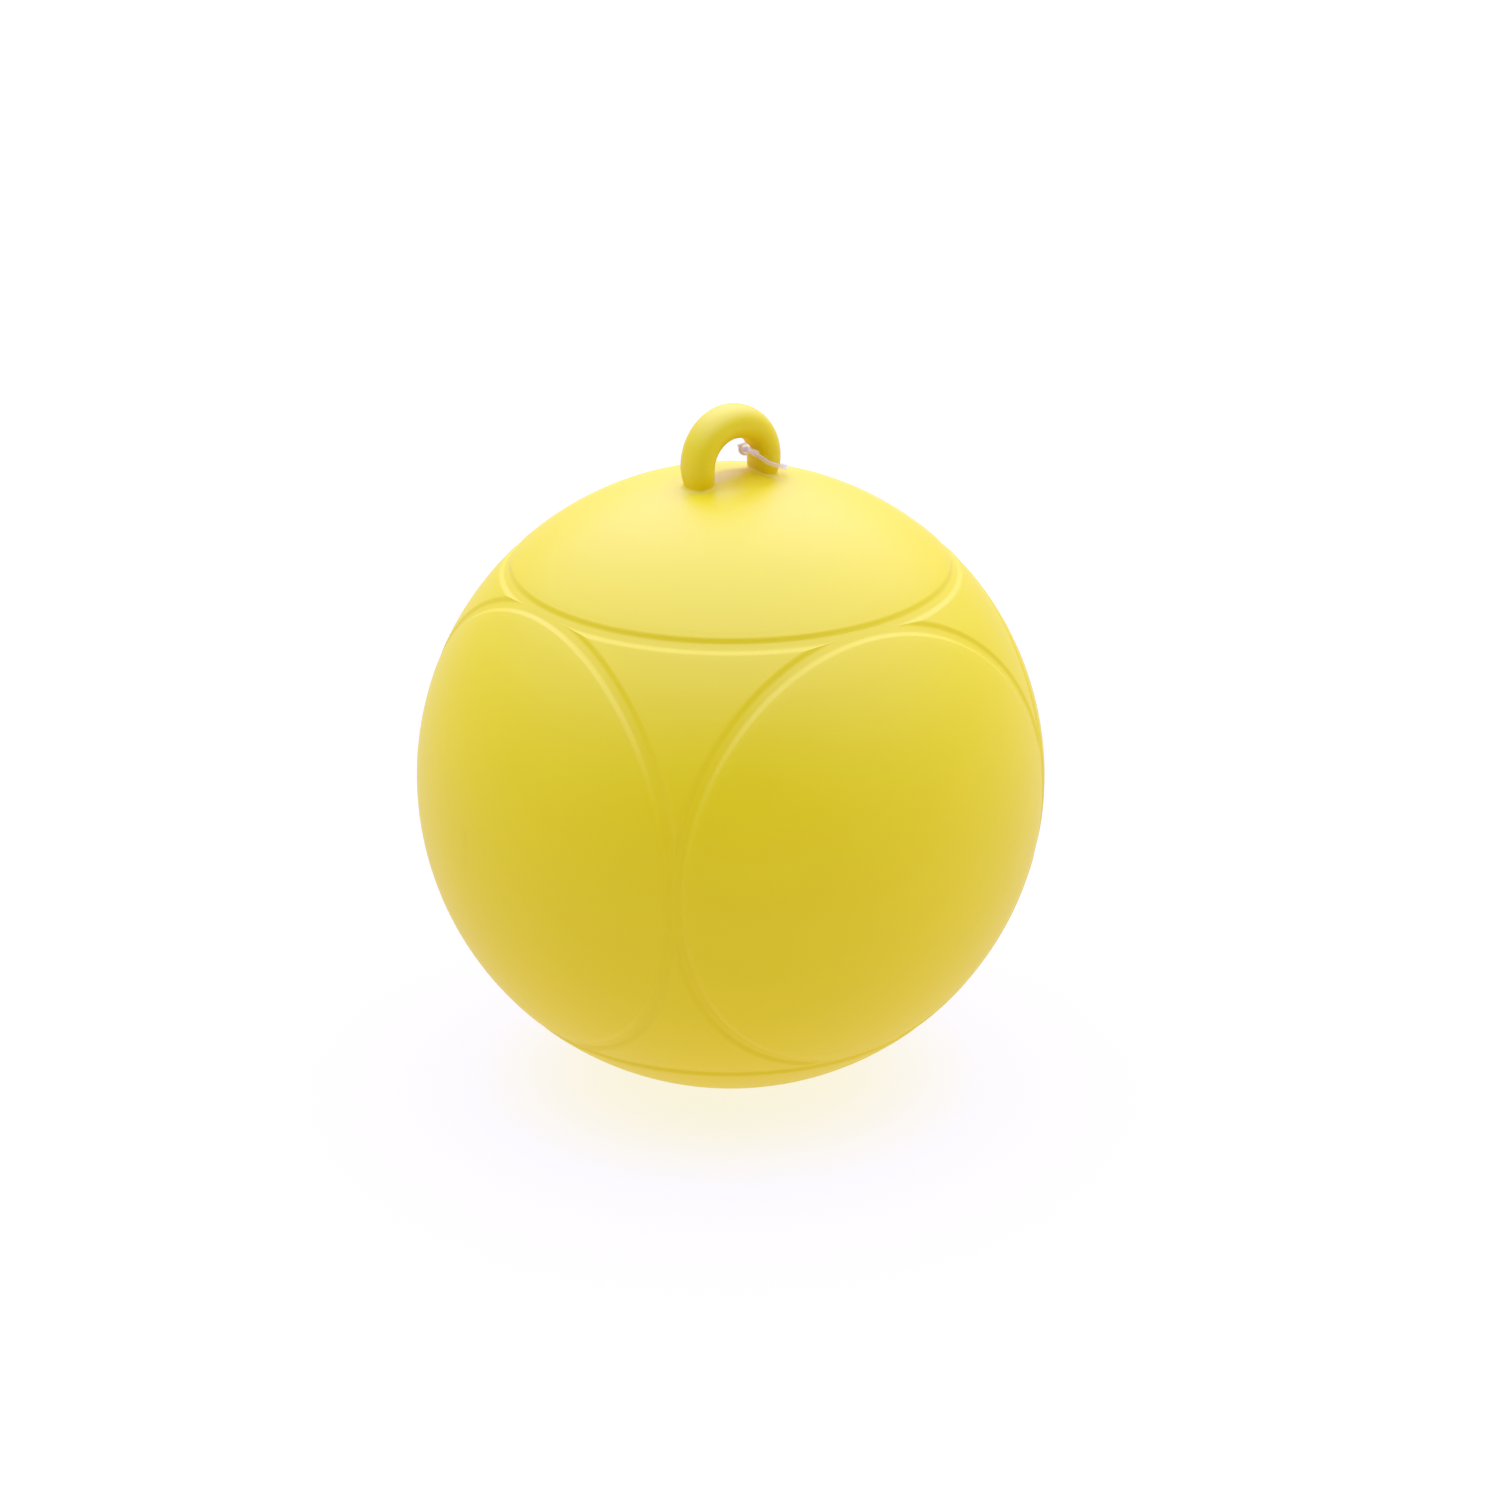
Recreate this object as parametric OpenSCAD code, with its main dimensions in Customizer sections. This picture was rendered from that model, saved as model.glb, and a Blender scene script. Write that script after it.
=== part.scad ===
// Hollow training ball with six engraved circles and a hanging loop.
// Millimetres. Origin at the ball's lowest point, +Z up through the loop.
// The loop lies in the XZ plane, which is also the plane the ball is joined in.

/* [Ball] */
// Outside diameter of the ball
ball_d = 74; // [60:0.5:90]
// Thickness of the rubber wall
wall = 2.5; // [2:0.1:4]
// Thickness of the cement line between the two halves
seam_t = 0.15; // [0.1:0.05:0.5]

/* [Engraved circles] */
// Angle from each circle's axis to the middle of its groove
groove_angle = 44.8; // [44.3:0.1:44.9]
// Width of the groove
groove_w = 1.44; // [1.2:0.04:1.8]
// Depth of the groove
groove_depth = 0.4; // [0.25:0.05:0.8]

/* [Hanging loop] */
// Clear width of the loop's eye
eye_w = 6.1; // [5:0.1:9]
// Height of the arch's centre above the top of the ball
eye_rise = 2.45; // [2.2:0.05:6]
// Thickness of the bar seen from the front
bar_t = 3.2; // [2.6:0.1:4]
// Width of the bar from front to back
bar_w = 4.8; // [4.2:0.1:6.4]
// Gap left for cement round the legs and over the anchor
bond_gap = 0.05; // [0.02:0.01:0.15]
// Height of the low web between the feet
web_h = 0.6; // [0.2:0.05:1]
// Width of the low web from front to back
web_w = 3.2; // [1:0.1:4]

/* [Anchor inside the wall] */
// Length of the anchor flange
anchor_l = 19; // [16:0.5:28]
// Width of the anchor flange
anchor_w = 9; // [8:0.5:12]
// Thickness of the anchor flange
anchor_t = 2.4; // [2:0.1:4]

/* [Clear fastener] */
// Thickness of the clear strand
strand_d = 0.5; // [0.4:0.05:0.6]
// Diameter of the bead that locks the strand
head_d = 1.45; // [1.2:0.05:2]
// Free space between the strand and the loop's leg
strand_gap = 0.4; // [0.35:0.05:0.6]
// Slope of the strand, down towards the outside of the leg
strand_slope = 33.42; // [30:0.5:35]

/* [Hidden] */
$fn = 80;
ball_r = ball_d / 2;
cavity_r = ball_r - wall;
groove_half = groove_w / 2 / ball_r * 180 / PI;
groove_in = groove_angle - groove_half;
groove_out = groove_angle + groove_half;
// where two grooves cross on the joint plane
crossing_w = 2 * ball_r * tan(45 - groove_in);
// the groove cutters run on past both faces of the skin
cut_over = 0.5;
cut_in = ball_r - groove_depth - cut_over;
cut_out = ball_r + 2 * cut_over;
leg_x = (eye_w + bar_t) / 2;
arch_z = ball_r + eye_rise;
flange_r = cavity_r - bond_gap;
flange_in = flange_r - anchor_t;
// the legs end inside the flange, at this share of its thickness
foot_share = 0.68;
leg_foot = flange_r - anchor_t * foot_share;
// the web rests this far off the ball
web_gap = 0.02;
big = ball_d;
// turns that keep the seam lines of round faces clear of the joint plane and of each other
sphere_turn = 20;
groove_turn = 33;
// the strand is drawn flat, u along the slope and v front to back
su = cos(strand_slope);
strand_r = strand_d / 2;
// space kept in front of the leg and between the two strands, and over the ball
side_gap = 0.2;
ball_gap = 0.12;
// from the strand inside the eye to the bead
head_reach = 3.4;
rim_gap = strand_gap + strand_r;
u_out = (leg_x + bar_t / 2 + rim_gap) / su;
u_in = (leg_x - bar_t / 2 - rim_gap) / su;
v_back = bar_w / 2 + strand_gap + strand_r;
v_in = -(bar_w / 2 + strand_r + side_gap);
v_front = v_in - strand_d - side_gap;
u_head = u_in - head_reach;
v_head = (v_in + v_front) / 2;
corner_r = 1.2;
corner_tight = 0.5;
// height of the sloping strand on the ball's axis, clear of the ball at its low end
low_x = u_out * su;
strand_z = sqrt(pow(ball_r + strand_r + ball_gap, 2) - low_x * low_x) + low_x * tan(strand_slope);

// flat bar section: straight sides with round ends
module bar_section(t, w) {
    square([t, w - t], center = true);
    translate([0, (w - t) / 2]) circle(d = t);
    translate([0, -(w - t) / 2]) circle(d = t);
}

// a sphere whose own seam line stands clear of the joint plane and the grooves' crossings
module turned_sphere(r) {
    rotate([0, 0, sphere_turn]) sphere(r = r);
}

// one pair of grooves, on the +Z and -Z circles
module groove_pair() {
    rotate(groove_turn) rotate_extrude() {
        polygon([
            [cut_in * sin(groove_in), cut_in * cos(groove_in)],
            [cut_out * sin(groove_in), cut_out * cos(groove_in)],
            [cut_out * sin(groove_out), cut_out * cos(groove_out)],
            [cut_in * sin(groove_out), cut_in * cos(groove_out)]
        ]);
        polygon([
            [cut_in * sin(groove_in), -cut_in * cos(groove_in)],
            [cut_in * sin(groove_out), -cut_in * cos(groove_out)],
            [cut_out * sin(groove_out), -cut_out * cos(groove_out)],
            [cut_out * sin(groove_in), -cut_out * cos(groove_in)]
        ]);
    }
}

// both legs of the loop as columns, with a gap g all round
module leg_columns(g, z0, z1) {
    for (s = [-1, 1])
        translate([s * leg_x, 0, z0])
            linear_extrude(z1 - z0) bar_section(bar_t + 2 * g, bar_w + 2 * g);
}

// the whole grooved, hollow ball about its own centre, before it is parted
module ball_wall() {
    difference() {
        union() {
            difference() {
                turned_sphere(ball_r);
                groove_pair();
                rotate([90, 0, 0]) groove_pair();
                rotate([0, 90, 0]) groove_pair();
            }
            turned_sphere(ball_r - groove_depth);
        }
        turned_sphere(cavity_r);
        leg_columns(bond_gap, flange_in, ball_r + wall);
    }
}

// half of the ball on the side s of the joint plane
module half_shell(s) {
    translate([0, 0, ball_r])
        intersection() {
            ball_wall();
            translate([-big, s > 0 ? seam_t / 2 : -big - seam_t / 2, -big])
                cube([2 * big, big, 2 * big]);
        }
}

module front_half_shell() {
    color([0.93, 0.85, 0.3]) half_shell(-1);
}

module rear_half_shell() {
    color([0.93, 0.85, 0.3]) half_shell(1);
}

// the cement line that joins the two rims, notched where the grooves and the legs cross it
module seam_bond() {
    color([0.88, 0.8, 0.25])
        translate([0, 0, ball_r])
            rotate([90, 0, 0])
                linear_extrude(seam_t, center = true)
                    difference() {
                        circle(r = ball_r);
                        circle(r = cavity_r);
                        for (a = [45 : 90 : 315])
                            rotate(a) translate([ball_r - groove_depth, -crossing_w / 2]) square([wall, crossing_w]);
                        for (s = [-1, 1])
                            translate([s * leg_x - bar_t / 2 - bond_gap, flange_in])
                                square([bar_t + 2 * bond_gap, ball_d]);
                    }
}

// arch, two legs through the wall, inside flange and the low web between the feet
module hanging_loop() {
    color([0.91, 0.82, 0.2])
        translate([0, 0, ball_r]) {
            translate([0, 0, arch_z])
                rotate([90, 0, 0])
                    rotate_extrude(angle = 180)
                        translate([leg_x, 0]) bar_section(bar_t, bar_w);
            leg_columns(0, leg_foot, arch_z);
            intersection() {
                difference() {
                    turned_sphere(flange_r);
                    turned_sphere(flange_in);
                }
                linear_extrude(ball_d)
                    rotate(90) bar_section(anchor_w, anchor_l);
            }
            intersection() {
                difference() {
                    turned_sphere(ball_r + web_h);
                    turned_sphere(ball_r + web_gap);
                }
                translate([-leg_x, -web_w / 2, 0]) cube([2 * leg_x, web_w, 2 * ball_d]);
            }
        }
}

function dirv(a, b) = (b - a) / norm(b - a);

// straight round strand from a to b in the flat
module straight(a, b) {
    d = b - a;
    translate([a[0], a[1], 0])
        rotate([0, 0, atan2(d[1], d[0])])
            rotate([0, 90, 0]) cylinder(d = strand_d, h = norm(d), $fn = 36);
}

// round strand bent a quarter turn to the left at b, with radius r
module bend(a, b, c, r) {
    out = dirv(b, c);
    o = b + (out - dirv(a, b)) * r;
    translate([o[0], o[1], 0])
        rotate([0, 0, atan2(-out[1], -out[0])])
            rotate_extrude(angle = 90) translate([r, 0]) circle(d = strand_d, $fn = 36);
}

// one piece of clear strand from the bead, round the leg and back into the bead
module tag_fastener() {
    start = [u_head, v_front];
    outer_front = [u_out, v_front];
    outer_back = [u_out, v_back];
    inner_back = [u_in, v_back];
    inner_front = [u_in, v_in];
    end = [u_head, v_in];
    to_v = [0, corner_r];
    to_u = [corner_r, 0];
    tight_u = [corner_tight, 0];
    tight_v = [0, corner_tight];
    color([0.9, 0.92, 0.95, 0.4])
        translate([0, 0, ball_r + strand_z])
            rotate([0, strand_slope, 0]) {
                straight(start, outer_front - to_u);
                bend(start, outer_front, outer_back, corner_r);
                straight(outer_front + to_v, outer_back - to_v);
                bend(outer_front, outer_back, inner_back, corner_r);
                straight(outer_back - to_u, inner_back + to_u);
                bend(outer_back, inner_back, inner_front, corner_r);
                straight(inner_back - to_v, inner_front + tight_v);
                bend(end, inner_front, inner_back, corner_tight);
                straight(inner_front - tight_u, end);
                translate([u_head, v_head, 0]) sphere(d = head_d, $fn = 48);
            }
}

front_half_shell();
rear_half_shell();
seam_bond();
hanging_loop();
tag_fastener();
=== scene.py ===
import ast
from math import atan2, cos, pi, radians, sin

import bmesh
import bpy
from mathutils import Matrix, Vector


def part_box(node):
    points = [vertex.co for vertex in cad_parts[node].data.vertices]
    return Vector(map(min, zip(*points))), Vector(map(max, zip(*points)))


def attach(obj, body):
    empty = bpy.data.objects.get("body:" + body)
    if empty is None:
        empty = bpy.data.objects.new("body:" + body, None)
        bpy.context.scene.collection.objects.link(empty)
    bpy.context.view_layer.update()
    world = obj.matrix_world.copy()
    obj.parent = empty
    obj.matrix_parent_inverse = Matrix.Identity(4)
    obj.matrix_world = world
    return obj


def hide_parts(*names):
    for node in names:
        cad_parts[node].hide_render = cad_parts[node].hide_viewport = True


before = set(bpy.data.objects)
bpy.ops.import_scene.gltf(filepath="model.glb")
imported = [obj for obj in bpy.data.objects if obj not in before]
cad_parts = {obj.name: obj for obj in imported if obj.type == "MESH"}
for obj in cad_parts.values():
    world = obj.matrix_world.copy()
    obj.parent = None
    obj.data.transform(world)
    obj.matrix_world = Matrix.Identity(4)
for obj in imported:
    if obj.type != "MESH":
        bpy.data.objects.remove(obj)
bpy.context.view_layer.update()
MM = 0.001

# ---------------------------------------------------------------------------
# Camera and studio: a three-quarter view from a little above, in a white tent.
# Its ceiling and back wall are bright and its front is dark, so the rubber goes
# from a pale top to a deep lower half, with light edges.
# ---------------------------------------------------------------------------
ball_low, ball_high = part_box("rear_half_shell")
ball_radius = (ball_high.x - ball_low.x) / 2
ball_centre = Vector((0, 0, ball_radius))
camera_side = radians(-35.5)
camera_lift = radians(22.9)
camera_distance = 13.2 * ball_radius


def colour(code):
    """An sRGB hex colour as the linear red, green, blue and alpha that Blender's sockets hold."""
    parts = [int(code[i:i + 2], 16) / 255 for i in (0, 2, 4)]
    return [p / 12.92 if p <= 0.04045 else ((p + 0.055) / 1.055) ** 2.4 for p in parts] + [1]


def add(tree, kind, inputs=None, **settings):
    """Adds a node, sets its settings, and fills or links its inputs."""
    made = tree.nodes.new(kind)
    for name, value in settings.items():
        setattr(made, name, value)
    for socket, value in (inputs or {}).items():
        if isinstance(value, bpy.types.NodeSocket):
            tree.links.new(value, made.inputs[socket])
        else:
            made.inputs[socket].default_value = value
    return made


SIGNS = {ast.Add: "ADD", ast.Sub: "SUBTRACT", ast.Mult: "MULTIPLY", ast.Div: "DIVIDE", ast.Pow: "POWER"}
WORDS = {"sin": "SINE", "cos": "COSINE", "acos": "ARCCOSINE", "atan": "ARCTANGENT", "sqrt": "SQRT",
         "abs": "ABSOLUTE", "least": "MINIMUM", "most": "MAXIMUM", "less": "LESS_THAN"}


def formula(tree, text, **known):
    """Lays out a written sum as nodes.

    ramp(x, from, to, end) goes evenly from 0 to end, and soft(x, from, to) eases from 0 to 1.
    """
    def lay(part):
        if isinstance(part, ast.Constant):
            return part.value
        if isinstance(part, ast.Name):
            return known[part.id]
        if isinstance(part, ast.BinOp):
            values = {0: lay(part.left), 1: lay(part.right)}
            return add(tree, "ShaderNodeMath", values, operation=SIGNS[type(part.op)]).outputs[0]
        values = [lay(one) for one in part.args]
        if part.func.id in ("ramp", "soft"):
            style = "LINEAR" if part.func.id == "ramp" else "SMOOTHSTEP"
            ends = dict(zip(("Value", "From Min", "From Max", "To Max"), values))
            return add(tree, "ShaderNodeMapRange", ends, interpolation_type=style).outputs[0]
        return add(tree, "ShaderNodeMath", dict(enumerate(values)), operation=WORDS[part.func.id]).outputs[0]
    return lay(ast.parse(text).body[0].value)


def new_material(name):
    """An empty node material, its tree and its output node."""
    made = bpy.data.materials.new(name)
    made.use_nodes = True
    made.node_tree.nodes.clear()
    return made, made.node_tree, add(made.node_tree, "ShaderNodeOutputMaterial")


lens = bpy.data.cameras.new("camera")
lens.sensor_width = 36
lens.lens = 99.2
lens.shift_x = 0.01285
lens.shift_y = 0.01636
lens.clip_start = 0.01
camera = bpy.data.objects.new("camera", lens)
towards = Vector((sin(camera_side), -cos(camera_side), 0))
look = towards * cos(camera_lift) + Vector((0, 0, sin(camera_lift)))
camera.location = ball_centre + look * camera_distance
camera.rotation_euler = look.to_track_quat("Z", "Y").to_euler()
bpy.context.scene.collection.objects.link(camera)
bpy.context.scene.camera = camera

floor_reach = 3
floor_corners = [(x * floor_reach, y * floor_reach, 0) for x, y in ((-1, -1), (1, -1), (1, 1), (-1, 1))]
floor_mesh = bpy.data.meshes.new("floor")
floor_mesh.from_pydata(floor_corners, [], [(0, 1, 2, 3)])
floor = bpy.data.objects.new("floor", floor_mesh)
bpy.context.scene.collection.objects.link(floor)
# A pale sweep lit from underneath, so it stays white and the shadow on it is faint.
sweep, sweep_tree, sweep_out = new_material("white_sweep")
paper = add(sweep_tree, "ShaderNodeBsdfDiffuse", {"Color": (0.12, 0.12, 0.12, 1)})
glow = add(sweep_tree, "ShaderNodeEmission", {"Color": (0.87, 0.84, 0.7, 1), "Strength": 1})
both = add(sweep_tree, "ShaderNodeAddShader", {0: paper.outputs[0], 1: glow.outputs[0]})
sweep_tree.links.new(both.outputs[0], sweep_out.inputs["Surface"])
floor_mesh.materials.append(sweep)

# The tent's light by where it comes from, as linear red, green and blue.
tent = bpy.data.worlds.new("white_tent")
bpy.context.scene.world = tent
tent.use_nodes = True
tree = tent.node_tree
tree.nodes.clear()
way = add(tree, "ShaderNodeSeparateXYZ", {0: add(tree, "ShaderNodeTexCoord").outputs["Generated"]}).outputs
tx, ty, rx, ry = towards.x, towards.y, -towards.y, towards.x
level = formula(tree, "sqrt(x * x + y * y)", x=way["X"], y=way["Y"])
ahead = formula(tree, "(x * tx + y * ty) / level", x=way["X"], y=way["Y"], tx=tx, ty=ty, level=level)
across = formula(tree, "(x * rx + y * ry) / level", x=way["X"], y=way["Y"], rx=rx, ry=ry, level=level)
ceiling = formula(tree, "soft(z, 0.65, 0.9)", z=way["Z"])
low_wall = formula(tree, "1 - soft(z, 0.3, 0.55)", z=way["Z"])
high_wall = formula(tree, "(1 - low) * (1 - ceiling)", low=low_wall, ceiling=ceiling)
ceiling_light = (1.93, 2.27, 8.4)
light = add(tree, "ShaderNodeVectorMath", {0: ceiling_light, "Scale": ceiling}, operation="SCALE").outputs[0]
# Each wall's side of the tent, and its light high up and low down.
for facing, sign, high, low in (
        (ahead, 1, (0, 0, 0), (0, 0, 0)),
        (ahead, -1, (1.95, 2.25, 7.8), (0.68, 0.6, 0.8)),
        (across, 1, (1.26, 1.41, 4.6), (0.84, 0.95, 1.1)),
        (across, -1, (1.09, 1.25, 4.3), (0.64, 0.74, 0.7))):
    lobe = formula(tree, "most(facing * sign, 0) ** 2", facing=facing, sign=sign)
    for wall_light, zone in ((high, high_wall), (low, low_wall)):
        amount = formula(tree, "lobe * zone", lobe=lobe, zone=zone)
        shone = add(tree, "ShaderNodeVectorMath", {0: wall_light, "Scale": amount}, operation="SCALE")
        light = add(tree, "ShaderNodeVectorMath", {0: light, 1: shone.outputs[0]}).outputs[0]
lit = add(tree, "ShaderNodeBackground", {"Color": light, "Strength": 1})
tree.links.new(lit.outputs[0], add(tree, "ShaderNodeOutputWorld").inputs["Surface"])
bpy.context.scene.view_settings.view_transform = "Standard"
bpy.context.scene.view_settings.look = "None"

# ---------------------------------------------------------------------------
# Half shells: two soft rubber cups, moulded with six shallow grooves, one round
# each of six circles that touch like the faces of a cube. They are joined rim
# to rim in the plane of the loop, and the joint is buffed flush.
# ---------------------------------------------------------------------------
wall = 2.5 * MM
groove_angle = radians(44.8)
groove_width = 1.44 * MM
groove_depth = 0.24 * MM
groove_edge = 0.8 * MM
seam_low, seam_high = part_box("seam_bond")
rim_gap = (seam_high.y - seam_low.y) / 2

# Soft yellow rubber from a satin mould: a broad low shine, faint cloudiness in
# the pigment and a very fine skin.
rubber, tree, rubber_out = new_material("moulded_yellow_rubber")
cloud_size = 20 * MM
skin_size = 0.35 * MM
skin_depth = 0.012 * MM
place = add(tree, "ShaderNodeTexCoord").outputs["Object"]
cloud = add(tree, "ShaderNodeTexNoise", {"Vector": place, "Scale": 1 / cloud_size, "Detail": 3,
                                         "Roughness": 0.5})
tint = add(tree, "ShaderNodeMix", {"Factor": cloud.outputs["Fac"], 6: colour("e8ca00"), 7: colour("efd000")},
           data_type="RGBA")
skin = add(tree, "ShaderNodeTexNoise", {"Vector": place, "Scale": 1 / skin_size, "Detail": 2,
                                        "Roughness": 0.6})
grain = add(tree, "ShaderNodeBump", {"Height": skin.outputs["Fac"], "Strength": 0.25, "Distance": skin_depth})
gloss = formula(tree, "0.44 + cloud * 0.08", cloud=cloud.outputs["Fac"])
shader = add(tree, "ShaderNodeBsdfPrincipled", {
    "Base Color": tint.outputs[2], "Roughness": gloss, "IOR": 1.45, "Specular Tint": (1, 0.97, 0.65, 1),
    "Normal": grain.outputs["Normal"]})
tree.links.new(shader.outputs[0], rubber_out.inputs["Surface"])


def new_rule(name, numbers):
    """A Geometry Nodes tree with number inputs, a material input and one output, and its input sockets."""
    made = bpy.data.node_groups.new(name, "GeometryNodeTree")
    for label in numbers:
        made.interface.new_socket(label, in_out="INPUT", socket_type="NodeSocketFloat")
    made.interface.new_socket("Material", in_out="INPUT", socket_type="NodeSocketMaterial")
    made.interface.new_socket("Geometry", in_out="OUTPUT", socket_type="NodeSocketGeometry")
    return made, add(made, "NodeGroupInput").outputs


def end_rule(tree, shape, size, merge):
    """Closes a tree: seams and poles are welded, and the shape is made real and given its material."""
    welded = add(tree, "GeometryNodeMergeByDistance", {"Geometry": shape, "Distance": merge})
    real = add(tree, "GeometryNodeRealizeInstances", {0: welded.outputs[0]})
    coated = add(tree, "GeometryNodeSetMaterial", {"Geometry": real.outputs[0], "Material": size["Material"]})
    add(tree, "NodeGroupOutput", {0: coated.outputs[0]})


def grown(name, tree, values):
    """Runs a tree with named input values and returns the result as a plain mesh object."""
    seed = bpy.data.objects.new(name + "_seed", bpy.data.meshes.new(name + "_seed"))
    bpy.context.scene.collection.objects.link(seed)
    rule = seed.modifiers.new("rule", "NODES")
    rule.node_group = tree
    for socket in tree.interface.items_tree:
        if socket.in_out == "INPUT":
            rule[socket.identifier] = values[socket.name]
    graph = bpy.context.evaluated_depsgraph_get()
    mesh = bpy.data.meshes.new_from_object(seed.evaluated_get(graph))
    bpy.data.objects.remove(seed)
    mesh.name = name
    made = bpy.data.objects.new(name, mesh)
    bpy.context.scene.collection.objects.link(made)
    return made


def finish_mesh(piece, crease):
    """Turns the faces outwards, shades them smooth and keeps edges sharper than crease degrees."""
    work = bmesh.new()
    work.from_mesh(piece.data)
    bmesh.ops.recalc_face_normals(work, faces=work.faces)
    work.to_mesh(piece.data)
    work.free()
    piece.data.shade_smooth()
    piece.data.set_sharp_from_angle(angle=radians(crease))


tree, size = new_rule("half_shell", ("Radius", "Wall", "Groove angle", "Groove width", "Groove depth",
                                     "Groove edge", "Rim gap", "Side"))
# One patch covers a sixth of the ball: columns run round its circle, and rows run
# out from the circle's middle, close together across the groove.
columns = 360
cap_rows = 22
edge_rows = 44
cap_angle = radians(43.1)
fine_angle = radians(3.4)
most_fine = 0.75
weld = 3e-5
cap_share = cap_rows / (cap_rows + edge_rows)
patch = add(tree, "GeometryNodeMeshGrid", {"Size X": 1, "Size Y": 1, "Vertices X": columns + 1,
                                           "Vertices Y": cap_rows + edge_rows + 1})
here = add(tree, "GeometryNodeInputPosition").outputs[0]
flat = add(tree, "ShaderNodeSeparateXYZ", {0: here}).outputs
around = formula(tree, "(0.5 - x) * turn", x=flat["X"], turn=2 * pi)
outward = formula(tree, "y + 0.5", y=flat["Y"])
beyond = formula(tree, "atan(1 / most(abs(cos(around)), abs(sin(around)))) - cap", around=around,
                 cap=cap_angle)
share = formula(tree, "least(most(fine / beyond, most_fine), 1)", fine=fine_angle, beyond=beyond,
                most_fine=most_fine)
near = formula(tree, "least(beyond, fine)", fine=fine_angle, beyond=beyond)
row = formula(tree, "(outward - cap) / (1 - cap)", outward=outward, cap=cap_share)
polar = formula(tree, "ramp(outward, 0, cap_share, cap) + ramp(row, 0, share, near)"
                " + ramp(row, share, 1, beyond - near)", outward=outward, cap_share=cap_share, cap=cap_angle,
                row=row, share=share, near=near, beyond=beyond)
on_sphere = add(tree, "ShaderNodeCombineXYZ", {
    0: formula(tree, "sin(polar) * cos(around)", polar=polar, around=around),
    1: formula(tree, "sin(polar) * sin(around)", polar=polar, around=around),
    2: formula(tree, "cos(polar)", polar=polar)})
patch = add(tree, "GeometryNodeSetPosition", {"Geometry": patch.outputs["Mesh"],
                                              "Position": on_sphere.outputs[0]})
sixths = add(tree, "GeometryNodeJoinGeometry")
quarter = pi / 2
for turn in ((0, 0, 0), (pi, 0, 0), (0, quarter, 0), (0, -quarter, 0), (quarter, 0, 0), (-quarter, 0, 0)):
    turned = add(tree, "GeometryNodeTransform", {"Geometry": patch.outputs[0], "Rotation": turn})
    tree.links.new(turned.outputs[0], sixths.inputs[0])
ball = add(tree, "GeometryNodeMergeByDistance", {"Geometry": sixths.outputs[0], "Distance": weld}).outputs[0]

# The half on one side of the joint, pushed in along the grooves.
spot = add(tree, "ShaderNodeSeparateXYZ", {0: here}).outputs
side_y = formula(tree, "y * side", y=spot["Y"], side=size["Side"])
other_side = add(tree, "FunctionNodeCompare", {0: side_y, 1: 0}, operation="LESS_THAN")
half = add(tree, "GeometryNodeDeleteGeometry", {"Geometry": ball, "Selection": other_side.outputs[0]},
           domain="FACE")
pressed = 0
for axis in "XYZ":
    press = formula(tree, "1 - soft(abs(acos(least(abs(along), 1)) - angle) * radius, width / 2 - edge / 2,"
                    "width / 2 + edge / 2)", along=spot[axis], angle=size["Groove angle"],
                    radius=size["Radius"], width=size["Groove width"], edge=size["Groove edge"])
    pressed = formula(tree, "most(pressed, press)", pressed=pressed, press=press)
reach = formula(tree, "radius - depth * pressed", radius=size["Radius"], depth=size["Groove depth"],
                pressed=pressed)
pushed = add(tree, "ShaderNodeVectorMath", {0: here, "Scale": reach}, operation="SCALE")
half = add(tree, "GeometryNodeSetPosition", {"Geometry": half.outputs[0], "Position": pushed.outputs[0]})

# The rim is flat, and stands back from the joint by half the cement line. From it
# the wall is drawn in, then on round the inside of the cup.
from_joint = formula(tree, "abs(y)", y=spot["Y"])
on_rim = add(tree, "FunctionNodeCompare", {0: from_joint, 1: 1e-7}, operation="LESS_THAN")
rim_y = formula(tree, "gap * side", gap=size["Rim gap"], side=size["Side"])
rim_place = add(tree, "ShaderNodeCombineXYZ", {0: spot["X"], 1: rim_y, 2: spot["Z"]})
half = add(tree, "GeometryNodeSetPosition", {"Geometry": half.outputs[0], "Selection": on_rim.outputs[0],
                                             "Position": rim_place.outputs[0]}).outputs[0]
neighbours = add(tree, "GeometryNodeInputMeshEdgeNeighbors").outputs[0]
open_edge = add(tree, "FunctionNodeCompare", {2: neighbours, 3: 1}, data_type="INT",
                operation="EQUAL").outputs[0]
flat_spot = add(tree, "ShaderNodeCombineXYZ", {0: spot["X"], 2: spot["Z"]}).outputs[0]
ring_way = add(tree, "ShaderNodeVectorMath", {0: flat_spot}, operation="NORMALIZE").outputs[0]
cup_rings = 14
last_ring = 1e-4
for step in range(cup_rings + 1):
    rise = pi / 2 * step / cup_rings
    drawn = add(tree, "GeometryNodeExtrudeMesh", {"Mesh": half, "Selection": open_edge, "Offset Scale": 0},
                mode="EDGES")
    out = formula(tree, "(radius - wall) * narrow", radius=size["Radius"], wall=size["Wall"],
                  narrow=max(cos(rise), last_ring))
    deep = formula(tree, "side * most(gap, (radius - wall) * rise)", side=size["Side"], gap=size["Rim gap"],
                   radius=size["Radius"], wall=size["Wall"], rise=sin(rise))
    ringed = add(tree, "ShaderNodeVectorMath", {0: ring_way, "Scale": out}, operation="SCALE").outputs[0]
    deeper = add(tree, "ShaderNodeCombineXYZ", {1: deep}).outputs[0]
    ringed = add(tree, "ShaderNodeVectorMath", {0: ringed, 1: deeper}).outputs[0]
    half = add(tree, "GeometryNodeSetPosition", {"Geometry": drawn.outputs["Mesh"], "Position": ringed,
                                                 "Selection": drawn.outputs["Top"]}).outputs[0]
    open_edge = drawn.outputs["Top"]
up = add(tree, "ShaderNodeCombineXYZ", {2: size["Radius"]}).outputs[0]
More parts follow.
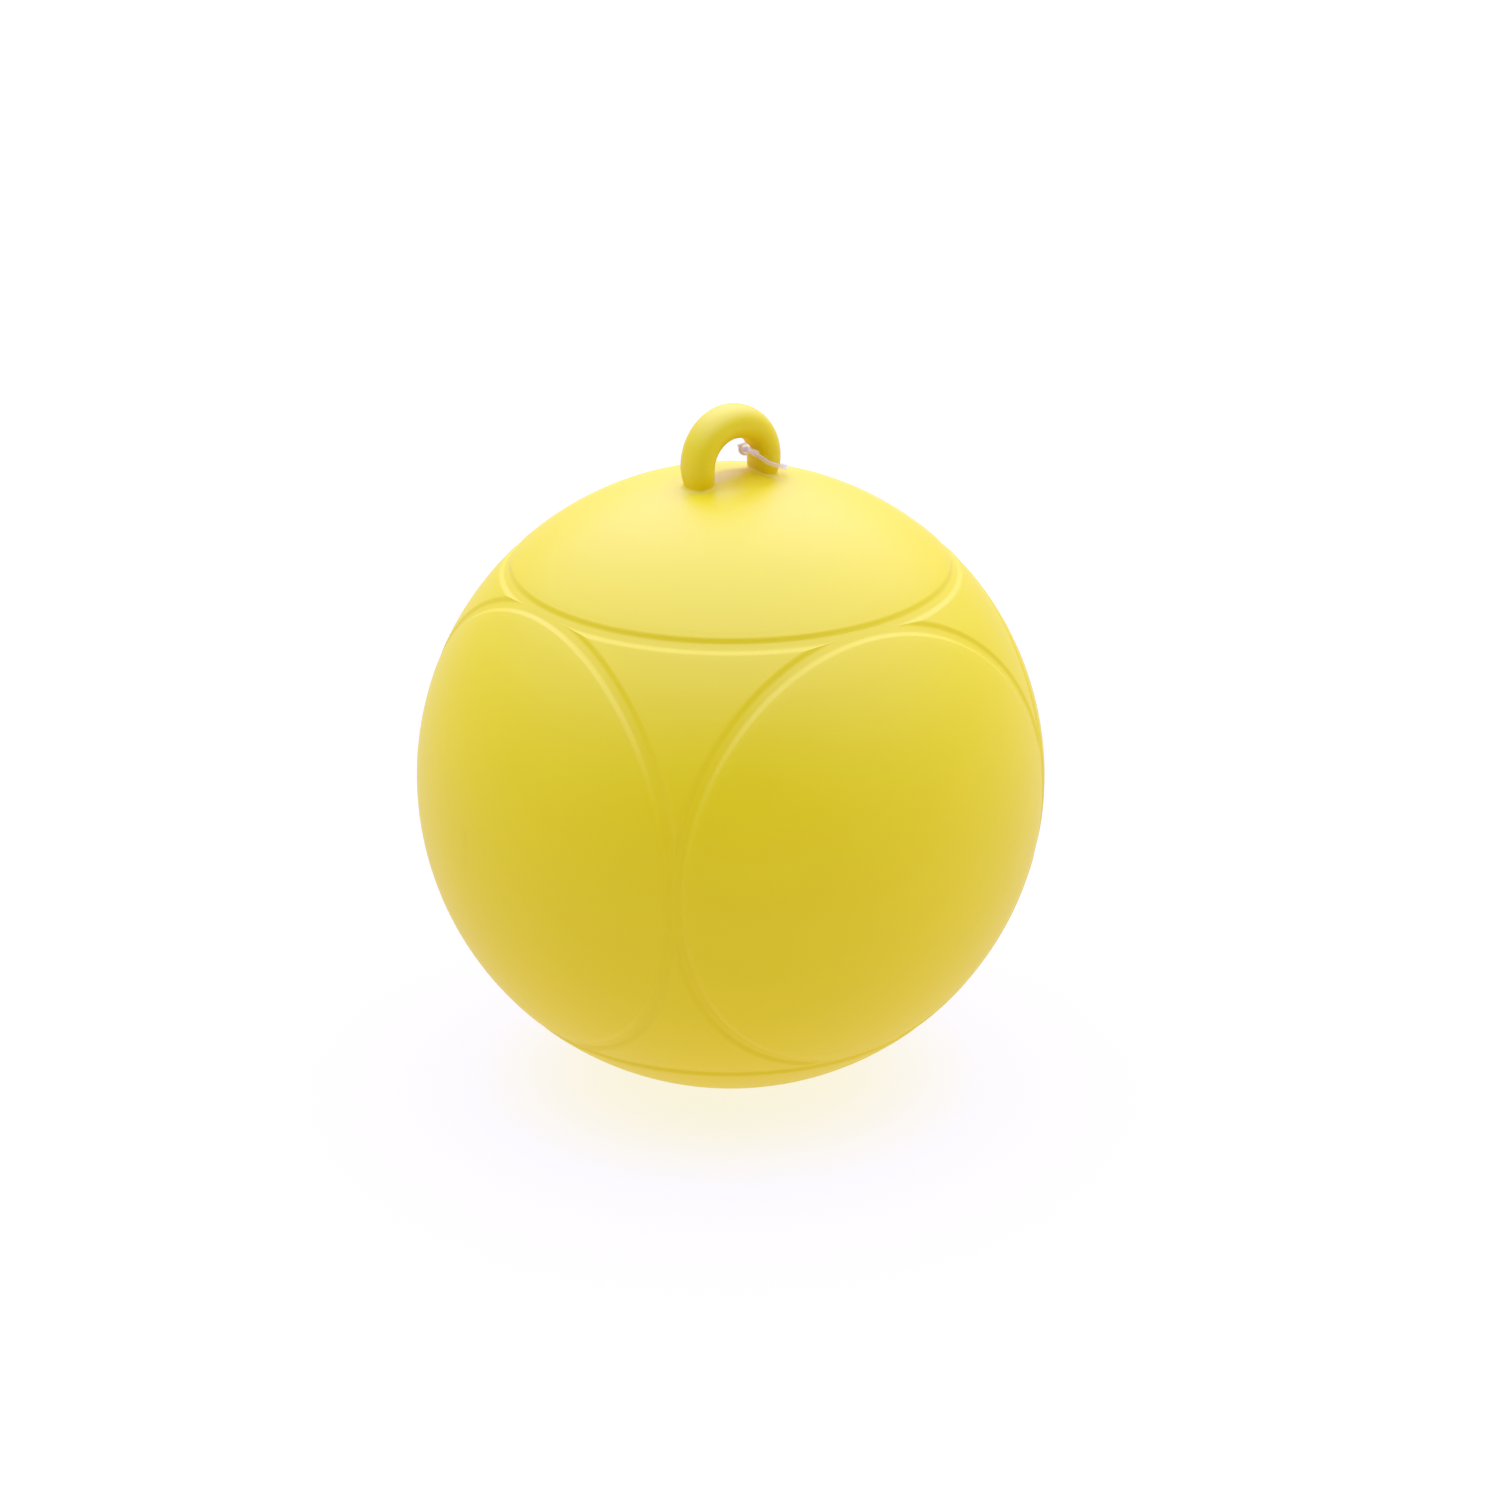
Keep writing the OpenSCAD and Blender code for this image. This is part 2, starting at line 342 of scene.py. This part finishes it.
lifted = add(tree, "GeometryNodeTransform", {"Geometry": half, "Translation": up})
end_rule(tree, lifted.outputs[0], size, 5e-6)

halves = {}
for name, side in (("front_half_shell", -1), ("rear_half_shell", 1)):
    piece = grown(name + "_skin", tree, {
        "Radius": ball_radius, "Wall": wall, "Groove angle": groove_angle, "Groove width": groove_width,
        "Groove depth": groove_depth, "Groove edge": groove_edge, "Rim gap": rim_gap, "Side": side,
        "Material": rubber})
    finish_mesh(piece, 60)
    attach(piece, "ball")
    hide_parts(name)
    halves[side] = piece

# ---------------------------------------------------------------------------
# Cement line: a thin ring of rubber cement that joins the two rims. It is
# buffed flush with the skin and follows the grooves, so it hardly shows.
# ---------------------------------------------------------------------------
same_place = 0.001 * MM
rim = sorted({(round(v.co.x, 8), round(v.co.z - ball_radius, 8)) for v in halves[-1].data.vertices
              if abs(v.co.y + rim_gap) < same_place and (v.co - ball_centre).length > ball_radius - wall / 2},
             key=lambda at: atan2(at[1], at[0]))
ring = bmesh.new()
loops = []
for inner, y in ((False, -rim_gap), (False, rim_gap), (True, rim_gap), (True, -rim_gap)):
    spots = [Vector((x, 0, z)) for x, z in rim]
    if inner:
        spots = [at.normalized() * (ball_radius - wall) for at in spots]
    loops.append([ring.verts.new(ball_centre + at + Vector((0, y, 0))) for at in spots])
for one, two in zip(loops, loops[1:] + loops[:1]):
    for i in range(len(rim)):
        ring.faces.new((one[i - 1], one[i], two[i], two[i - 1]))
seam_mesh = bpy.data.meshes.new("seam_ring")
ring.to_mesh(seam_mesh)
ring.free()
seam_mesh.materials.append(rubber)
seam = bpy.data.objects.new("seam_ring", seam_mesh)
bpy.context.scene.collection.objects.link(seam)
finish_mesh(seam, 40)
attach(seam, "ball")
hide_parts("seam_bond")

# ---------------------------------------------------------------------------
# Hanging loop: one moulding of the same rubber. A round-edged bar bends over in
# an arch, thickest at its top and narrower at its feet, which run out softly onto
# a low saddle on the ball. A flange inside the wall holds the loop in.
# ---------------------------------------------------------------------------
loop_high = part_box("hanging_loop")[1]
top_thickness = 3.9 * MM
arch_rise = 4.75 * MM
anchor_thickness = 2.4 * MM
anchor_gap = 0.05 * MM
anchor_top = ball_radius - wall - anchor_gap
foot_share = 0.7

tree, size = new_rule("hanging_loop", ("Leg reach", "Arch start", "Arch rise", "Foot height", "Leg thickness",
                                       "Top thickness", "Bar width", "Foot lean", "Foot taper", "Fillet",
                                       "Ball radius", "Saddle length", "Saddle width", "Saddle height",
                                       "Anchor length", "Anchor width", "Anchor top", "Anchor thickness"))
here = add(tree, "ShaderNodeSeparateXYZ", {0: add(tree, "GeometryNodeInputPosition").outputs[0]}).outputs
around = formula(tree, "(x + 0.5) * turn", x=here["X"], turn=2 * pi)
along = formula(tree, "y + 0.5", y=here["Y"])
radius = size["Ball radius"]
# The outline of the bar's section: an oval with slightly flattened sides.
oval_x = formula(tree, "cos(around) / most(abs(cos(around)), 0.001) ** 0.12", around=around)
oval_y = formula(tree, "sin(around) / most(abs(sin(around)), 0.001) ** 0.12", around=around)


def closed_form(columns, rows, x, y, z):
    """A grid rolled up into one closed form, by the place of each of its points."""
    sheet = add(tree, "GeometryNodeMeshGrid", {"Size X": 1, "Size Y": 1, "Vertices X": columns + 1,
                                               "Vertices Y": rows + 1})
    at = add(tree, "ShaderNodeCombineXYZ", {0: x, 1: y, 2: z}).outputs[0]
    return add(tree, "GeometryNodeSetPosition", {"Geometry": sheet.outputs["Mesh"], "Position": at})


# The bar: up one leg, over the arch and down the other.
bar_rows = 170
bar_columns = 64
leg = formula(tree, "arch - foot", arch=size["Arch start"], foot=size["Foot height"])
bow = formula(tree, "(reach + rise) * quarter", reach=size["Leg reach"], rise=size["Arch rise"],
              quarter=pi / 2)
travel = formula(tree, "along * (leg * 2 + bow)", along=along, leg=leg, bow=bow)
bend = formula(tree, "ramp(travel, leg, leg + bow, half_turn)", travel=travel, leg=leg, bow=bow, half_turn=pi)
drop = formula(tree, "most(leg - travel, 0) + most(travel - leg - bow, 0)", leg=leg, travel=travel, bow=bow)
low = formula(tree, "least(drop / (arch - radius), 1) ** 2", drop=drop, arch=size["Arch start"],
              radius=radius)
reach = formula(tree, "reach - lean * low", reach=size["Leg reach"], lean=size["Foot lean"], low=low)
height = formula(tree, "arch + rise * sin(bend) - drop", arch=size["Arch start"], rise=size["Arch rise"],
                 bend=bend, drop=drop)
close = formula(tree, "ramp(least(along, 1 - along) * rows, 0, 1, 1)", along=along, rows=bar_rows)
thick = formula(tree, "close * oval * (leg + (top - leg) * sin(bend) ** 2 - taper * low / 4) / 2",
                close=close, oval=oval_x, leg=size["Leg thickness"], top=size["Top thickness"], bend=bend,
                taper=size["Foot taper"], low=low)
wide = formula(tree, "close * oval * (width - taper * low) / 2", close=close, oval=oval_y,
               width=size["Bar width"], taper=size["Foot taper"], low=low)
bar = closed_form(bar_columns, bar_rows,
                  formula(tree, "0 - (reach + thick) * cos(bend)", reach=reach, thick=thick, bend=bend),
                  wide,
                  formula(tree, "height + thick * sin(bend)", height=height, thick=thick, bend=bend))

# The saddle: a low swelling of the ball's top under both feet, closed underneath.
swelling = "rise * most(1 - (2 * x / long) ** 2 - (2 * y / wide) ** 2, 0) ** 2"
saddle_sizes = {"rise": size["Saddle height"], "long": size["Saddle length"], "wide": size["Saddle width"]}
saddle_rows = 24
saddle_columns = 96
out = formula(tree, "ramp(least(along, 1 - along) * rows / half, 0, 1, 1)", along=along,
              rows=2 * saddle_rows + 1, half=saddle_rows)
saddle_x = formula(tree, "long / 2 * out * cos(around)", long=size["Saddle length"], out=out, around=around)
saddle_y = formula(tree, "wide / 2 * out * sin(around)", wide=size["Saddle width"], out=out, around=around)
swell = formula(tree, swelling + " * (1 - 1.5 * less(0.5, along))", x=saddle_x, y=saddle_y, along=along,
                **saddle_sizes)
saddle = closed_form(saddle_columns, 2 * saddle_rows + 1, saddle_x, saddle_y,
                     formula(tree, "sqrt((radius + swell) ** 2 - x * x - y * y)", radius=radius, swell=swell,
                             x=saddle_x, y=saddle_y))

# A fillet round each foot: a ring whose hollow face runs from the saddle up into the leg.
turn = formula(tree, "ramp(along, 0, 0.8, quarter)", along=along, quarter=pi / 2)
stand_off = formula(tree, "fillet * (1 - sin(turn) - ramp(along, 0.8, 0.9, 1) + ramp(along, 0.9, 1, 2))",
                    fillet=size["Fillet"], turn=turn, along=along)
stand_up = formula(tree, "fillet * (1 - cos(turn) - ramp(along, 0.8, 0.9, 2) + ramp(along, 0.9, 1, 1))",
                   fillet=size["Fillet"], turn=turn, along=along)
fillet_rows = 20
fillets = []
for side in (-1, 1):
    collar_x = formula(tree, "side * (reach - lean + ((leg - taper / 4) / 2 + stand_off) * oval)", side=side,
                       reach=size["Leg reach"], lean=size["Foot lean"], leg=size["Leg thickness"],
                       taper=size["Foot taper"], stand_off=stand_off, oval=oval_x)
    collar_y = formula(tree, "((width - taper) / 2 + stand_off) * oval", width=size["Bar width"],
                       taper=size["Foot taper"], stand_off=stand_off, oval=oval_y)
    swell = formula(tree, swelling, x=collar_x, y=collar_y, **saddle_sizes)
    collar_z = formula(tree, "sqrt((radius + swell) ** 2 - x * x - y * y) + stand_up", radius=radius,
                       swell=swell, x=collar_x, y=collar_y, stand_up=stand_up)
    fillets.append(closed_form(bar_columns, fillet_rows, collar_x, collar_y, collar_z))

# The flange: a long rounded pad, curved to the inside of the wall.
pad_rows = 12
pad_columns = 72
out = formula(tree, "ramp(least(along, 1 - along) * rows / half, 0, 1, 1)", along=along,
              rows=2 * pad_rows + 1, half=pad_rows)
pad_x = formula(tree, "out * width / 2 * cos(around) / most(abs(cos(around)), 0.001) ** 0.3", out=out,
                width=size["Anchor length"], around=around)
pad_y = formula(tree, "out * width / 2 * sin(around) / most(abs(sin(around)), 0.001) ** 0.3", out=out,
                width=size["Anchor width"], around=around)
shell_radius = formula(tree, "top - thickness * less(0.5, along)", top=size["Anchor top"],
                       thickness=size["Anchor thickness"], along=along)
pad = closed_form(pad_columns, 2 * pad_rows + 1, pad_x, pad_y,
                  formula(tree, "sqrt(shell * shell - x * x - y * y)", shell=shell_radius, x=pad_x, y=pad_y))

forms = add(tree, "GeometryNodeJoinGeometry")
for form in (bar, saddle, *fillets, pad):
    tree.links.new(form.outputs[0], forms.inputs[0])
up = add(tree, "ShaderNodeCombineXYZ", {2: radius}).outputs[0]
lifted = add(tree, "GeometryNodeTransform", {"Geometry": forms.outputs[0], "Translation": up})
end_rule(tree, lifted.outputs[0], size, 2e-6)

loop = grown("hanging_loop_moulding", tree, {
    "Leg reach": 4.65 * MM, "Arch start": loop_high.z - top_thickness / 2 - arch_rise - ball_radius,
    "Arch rise": arch_rise, "Foot height": anchor_top - foot_share * anchor_thickness,
    "Leg thickness": 3.2 * MM, "Top thickness": top_thickness, "Bar width": 4.7 * MM,
    "Foot lean": 0.15 * MM, "Foot taper": 0.9 * MM, "Fillet": 0.45 * MM, "Ball radius": ball_radius,
    "Saddle length": 15 * MM, "Saddle width": 7.4 * MM, "Saddle height": 0.6 * MM,
    "Anchor length": 19 * MM, "Anchor width": 9 * MM, "Anchor top": anchor_top,
    "Anchor thickness": anchor_thickness, "Material": rubber})
finish_mesh(loop, 60)
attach(loop, "ball")
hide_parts("hanging_loop")

# ---------------------------------------------------------------------------
# Tag fastener: one piece of clear nylon, left on from the shop. Its strand goes
# from the bead, in front of the loop's right leg and round behind it, and back
# through the eye into the bead, where it has snapped shut.
# ---------------------------------------------------------------------------
strand_width = 0.5 * MM
bead_width = 1.45 * MM
# Millimetres from the ball's centre: the bead, and the strand from it and back to it.
bead_place = Vector((-0.3, -3.12, 41.3))
strand_route = ((-0.1, -3.3, 41.25), (0.6, -3.42, 40.8), (1.7, -3.45, 40.0), (2.8, -3.42, 39.2),
                (4.0, -3.3, 38.6), (5.2, -2.95, 38.0), (6.2, -2.25, 37.55), (6.95, -1.1, 37.2),
                (7.15, 0.2, 37.1), (6.7, 1.6, 37.3), (5.5, 2.75, 38.0), (4.1, 2.95, 38.9), (2.9, 2.4, 39.6),
                (2.45, 1.0, 39.9), (2.4, -1.0, 40.0), (2.25, -2.1, 40.1), (1.4, -2.75, 40.5),
                (0.4, -2.9, 40.95), (-0.1, -2.95, 41.2))

# Clear nylon, moulded in one shot: see-through but a little milky, so what lies
# behind it is blurred and it looks paler than the rubber.
nylon, tree, nylon_out = new_material("clear_nylon")
clear = add(tree, "ShaderNodeBsdfPrincipled", {
    "Base Color": colour("fff6dc"), "Roughness": 0.28, "IOR": 1.2, "Transmission Weight": 0.85})
tree.links.new(clear.outputs[0], nylon_out.inputs["Surface"])

path = bpy.data.curves.new("strand_path", "CURVE")
path.dimensions = "3D"
path.bevel_depth = strand_width / 2
path.bevel_resolution = 5
path.use_fill_caps = True
line = path.splines.new("NURBS")
line.order_u = 4
line.resolution_u = 8
line.use_endpoint_u = True
line.points.add(len(strand_route) - 1)
for point, place in zip(line.points, strand_route):
    point.co = (*(Vector(place) * MM + ball_centre), 1)
path_holder = bpy.data.objects.new("strand_path", path)
bpy.context.scene.collection.objects.link(path_holder)
strand = bpy.data.meshes.new_from_object(path_holder.evaluated_get(bpy.context.evaluated_depsgraph_get()))
bpy.data.objects.remove(path_holder)
fastener_work = bmesh.new()
fastener_work.from_mesh(strand)
bead = bmesh.ops.create_uvsphere(fastener_work, u_segments=32, v_segments=20, radius=bead_width / 2)["verts"]
for v in bead:
    v.co += bead_place * MM + ball_centre
fastener_work.to_mesh(strand)
fastener_work.free()
strand.name = "tag_fastener_clear"
strand.materials.clear()
strand.materials.append(nylon)
fastener = bpy.data.objects.new("tag_fastener_clear", strand)
bpy.context.scene.collection.objects.link(fastener)
finish_mesh(fastener, 50)
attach(fastener, "fastener")
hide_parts("tag_fastener")
